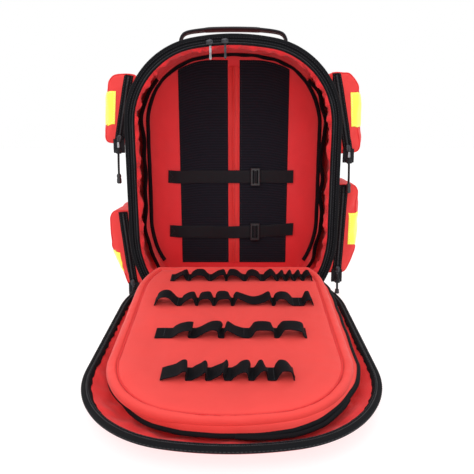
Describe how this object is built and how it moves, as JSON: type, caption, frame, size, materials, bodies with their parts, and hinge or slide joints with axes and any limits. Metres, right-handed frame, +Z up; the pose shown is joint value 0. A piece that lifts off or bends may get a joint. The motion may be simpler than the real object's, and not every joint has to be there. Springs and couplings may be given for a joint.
{
  "type": "trauma backpack",
  "caption": "Upright soft trauma backpack with its zipped front lid folded down, showing elastic instrument loops, strapped back wall and side pockets.",
  "frame": {"origin": "centre of the bag's base, on the floor it stands on", "axes": "+Z up, +Y towards the wearer's back, -Y out of the front opening, +X to the right of someone looking into the open bag"},
  "size_m": [0.4352, 0.6373, 0.4768],
  "materials": {
    "black_cord": "braided cord",
    "black_elastic": "ribbed elastic tape",
    "black_loop": "hook-and-loop pile, matt",
    "black_mesh": "padded spacer mesh, matt",
    "black_plastic": "moulded acetal, satin",
    "black_webbing": "ribbed polyamide webbing",
    "black_zip": "coil zip on woven tape",
    "dark_metal": "lacquered zinc",
    "frame_plastic": "extruded sheet",
    "grey_metal": "nickel-plated zinc",
    "red_lining": "woven red lining, satin",
    "red_nylon": "woven red polyamide, satin",
    "reflective_yellow": "fluorescent reflective vinyl"
  },
  "bodies": {
    "bag": {"back_pad": "black_mesh", "bag_shell": "red_nylon", "base_panel": "black_plastic", "frame_sheet": "frame_plastic", "handle_anchor_left": "black_webbing", "handle_anchor_right": "black_webbing", "loop_panel_left": "black_loop", "loop_panel_right": "black_loop", "lumbar_pad": "black_mesh", "pocket_lower_left": "red_nylon", "pocket_lower_right": "red_nylon", "pocket_upper_left": "red_nylon", "pocket_upper_right": "red_nylon", "pocket_zip_lower_left": "black_zip", "pocket_zip_lower_right": "black_zip", "pocket_zip_upper_left": "black_zip", "pocket_zip_upper_right": "black_zip", "reflective_patch_lower_left": "reflective_yellow", "reflective_patch_lower_right": "reflective_yellow", "reflective_patch_upper_left": "reflective_yellow", "reflective_patch_upper_right": "reflective_yellow", "securing_strap_lower": "black_webbing", "securing_strap_upper": "black_webbing", "shoulder_strap_left": "black_mesh", "shoulder_strap_right": "black_mesh", "strap_webbing_left": "black_webbing", "strap_webbing_right": "black_webbing", "wall_elastic_left": "black_elastic", "wall_elastic_right": "black_elastic", "wall_pocket_left": "red_lining", "wall_pocket_right": "red_lining", "zipper_tape_body": "black_zip"},
    "lid": {"lid_shell": "red_nylon", "zipper_tape_lid": "black_zip", "front_pocket": "red_nylon"},
    "organiser": {"organiser_panel": "red_nylon", "organiser_binding": "black_zip", "elastic_row_1": "black_elastic", "elastic_row_2": "black_elastic", "elastic_row_3": "black_elastic", "elastic_row_4": "black_elastic"},
    "handle": {"carry_handle": "black_webbing"},
    "main_slider_left": {"main_slider_left": "dark_metal"},
    "main_pull_left": {"main_pull_left": "grey_metal"},
    "main_slider_right": {"main_slider_right": "dark_metal"},
    "main_pull_right": {"main_pull_right": "dark_metal"},
    "slider_upper_left": {"pocket_slider_upper_left": "dark_metal"},
    "pull_upper_left": {"pocket_pull_upper_left": "black_cord"},
    "slider_upper_right": {"pocket_slider_upper_right": "dark_metal"},
    "pull_upper_right": {"pocket_pull_upper_right": "black_cord"},
    "slider_lower_left": {"pocket_slider_lower_left": "dark_metal"},
    "pull_lower_left": {"pocket_pull_lower_left": "black_cord"},
    "slider_lower_right": {"pocket_slider_lower_right": "dark_metal"},
    "pull_lower_right": {"pocket_pull_lower_right": "black_cord"},
    "buckle_upper": {"strap_buckle_upper": "black_plastic"},
    "buckle_lower": {"strap_buckle_lower": "black_plastic"},
    "adjuster_left": {"strap_adjuster_left": "black_plastic"},
    "adjuster_right": {"strap_adjuster_right": "black_plastic"}
  },
  "joints": [
    {"name": "lid_hinge", "type": "hinge", "parent": "bag", "child": "lid", "pos_m": [0, -0.0839, 0.0552], "axis": [-1, 0, 0], "range_deg": [0, 94]},
    {"name": "organiser_flap", "type": "hinge", "parent": "lid", "child": "organiser", "pos_m": [0, -0.09383, 0.08257], "axis": [1, 0, 0], "range_deg": [-65, 0]},
    {"name": "handle_swing", "type": "hinge", "parent": "bag", "child": "handle", "pos_m": [0, 0, 0.4465], "axis": [1, 0, 0], "range_deg": [-30, 30]},
    {"name": "main_slider_left_run", "type": "hinge", "parent": "bag", "child": "main_slider_left", "pos_m": [0, 0, 0.11], "axis": [0, -1, 0], "range_deg": [0, 4.4]},
    {"name": "main_slider_right_run", "type": "hinge", "parent": "bag", "child": "main_slider_right", "pos_m": [0, 0, 0.11], "axis": [0, 1, 0], "range_deg": [0, 12.5]},
    {"name": "main_pull_left_swing", "type": "hinge", "parent": "main_slider_left", "child": "main_pull_left", "pos_m": [-0.03427, -0.08685, 0.42554], "axis": [1, 0, 0], "range_deg": [-25, 70]},
    {"name": "main_pull_right_swing", "type": "hinge", "parent": "main_slider_right", "child": "main_pull_right", "pos_m": [-0.01175, -0.08685, 0.42718], "axis": [1, 0, 0], "range_deg": [-25, 70]},
    {"name": "upper_left_zip_run", "type": "slide", "parent": "bag", "child": "slider_upper_left", "axis": [0.1961, 0, 0.9806], "range_m": [0, 0.076]},
    {"name": "upper_left_pull_swing", "type": "hinge", "parent": "slider_upper_left", "child": "pull_upper_left", "pos_m": [-0.18924, -0.05025, 0.28782], "axis": [-1, 0, 0], "range_deg": [0, 70]},
    {"name": "upper_right_zip_run", "type": "slide", "parent": "bag", "child": "slider_upper_right", "axis": [-0.1992, 0, 0.98], "range_m": [0, 0.084]},
    {"name": "upper_right_pull_swing", "type": "hinge", "parent": "slider_upper_right", "child": "pull_upper_right", "pos_m": [0.19124, -0.05025, 0.27182], "axis": [-1, 0, 0], "range_deg": [0, 70]},
    {"name": "lower_left_zip_run", "type": "slide", "parent": "bag", "child": "slider_lower_left", "axis": [-0.1003, 0, 0.995], "range_m": [0, 0.11]},
    {"name": "lower_left_pull_swing", "type": "hinge", "parent": "slider_lower_left", "child": "pull_lower_left", "pos_m": [-0.17588, -0.05025, 0.03981], "axis": [-1, 0, 0], "range_deg": [0, 70]},
    {"name": "lower_right_zip_run", "type": "slide", "parent": "bag", "child": "slider_lower_right", "axis": [0.0331, 0, 0.9995], "range_m": [0, 0.112]},
    {"name": "lower_right_pull_swing", "type": "hinge", "parent": "slider_lower_right", "child": "pull_lower_right", "pos_m": [0.18096, -0.05025, 0.0638], "axis": [-1, 0, 0], "range_deg": [0, 70]},
    {"name": "upper_buckle_run", "type": "slide", "parent": "bag", "child": "buckle_upper", "axis": [1, 0, 0], "range_m": [-0.05, 0.045]},
    {"name": "lower_buckle_run", "type": "slide", "parent": "bag", "child": "buckle_lower", "axis": [1, 0, 0], "range_m": [-0.05, 0.045]},
    {"name": "left_adjuster_run", "type": "slide", "parent": "bag", "child": "adjuster_left", "axis": [-0.1316, -0.3571, -0.9248], "range_m": [0, 0.05]},
    {"name": "right_adjuster_run", "type": "slide", "parent": "bag", "child": "adjuster_right", "axis": [0.1316, -0.3571, -0.9248], "range_m": [0, 0.05]}
  ]
}
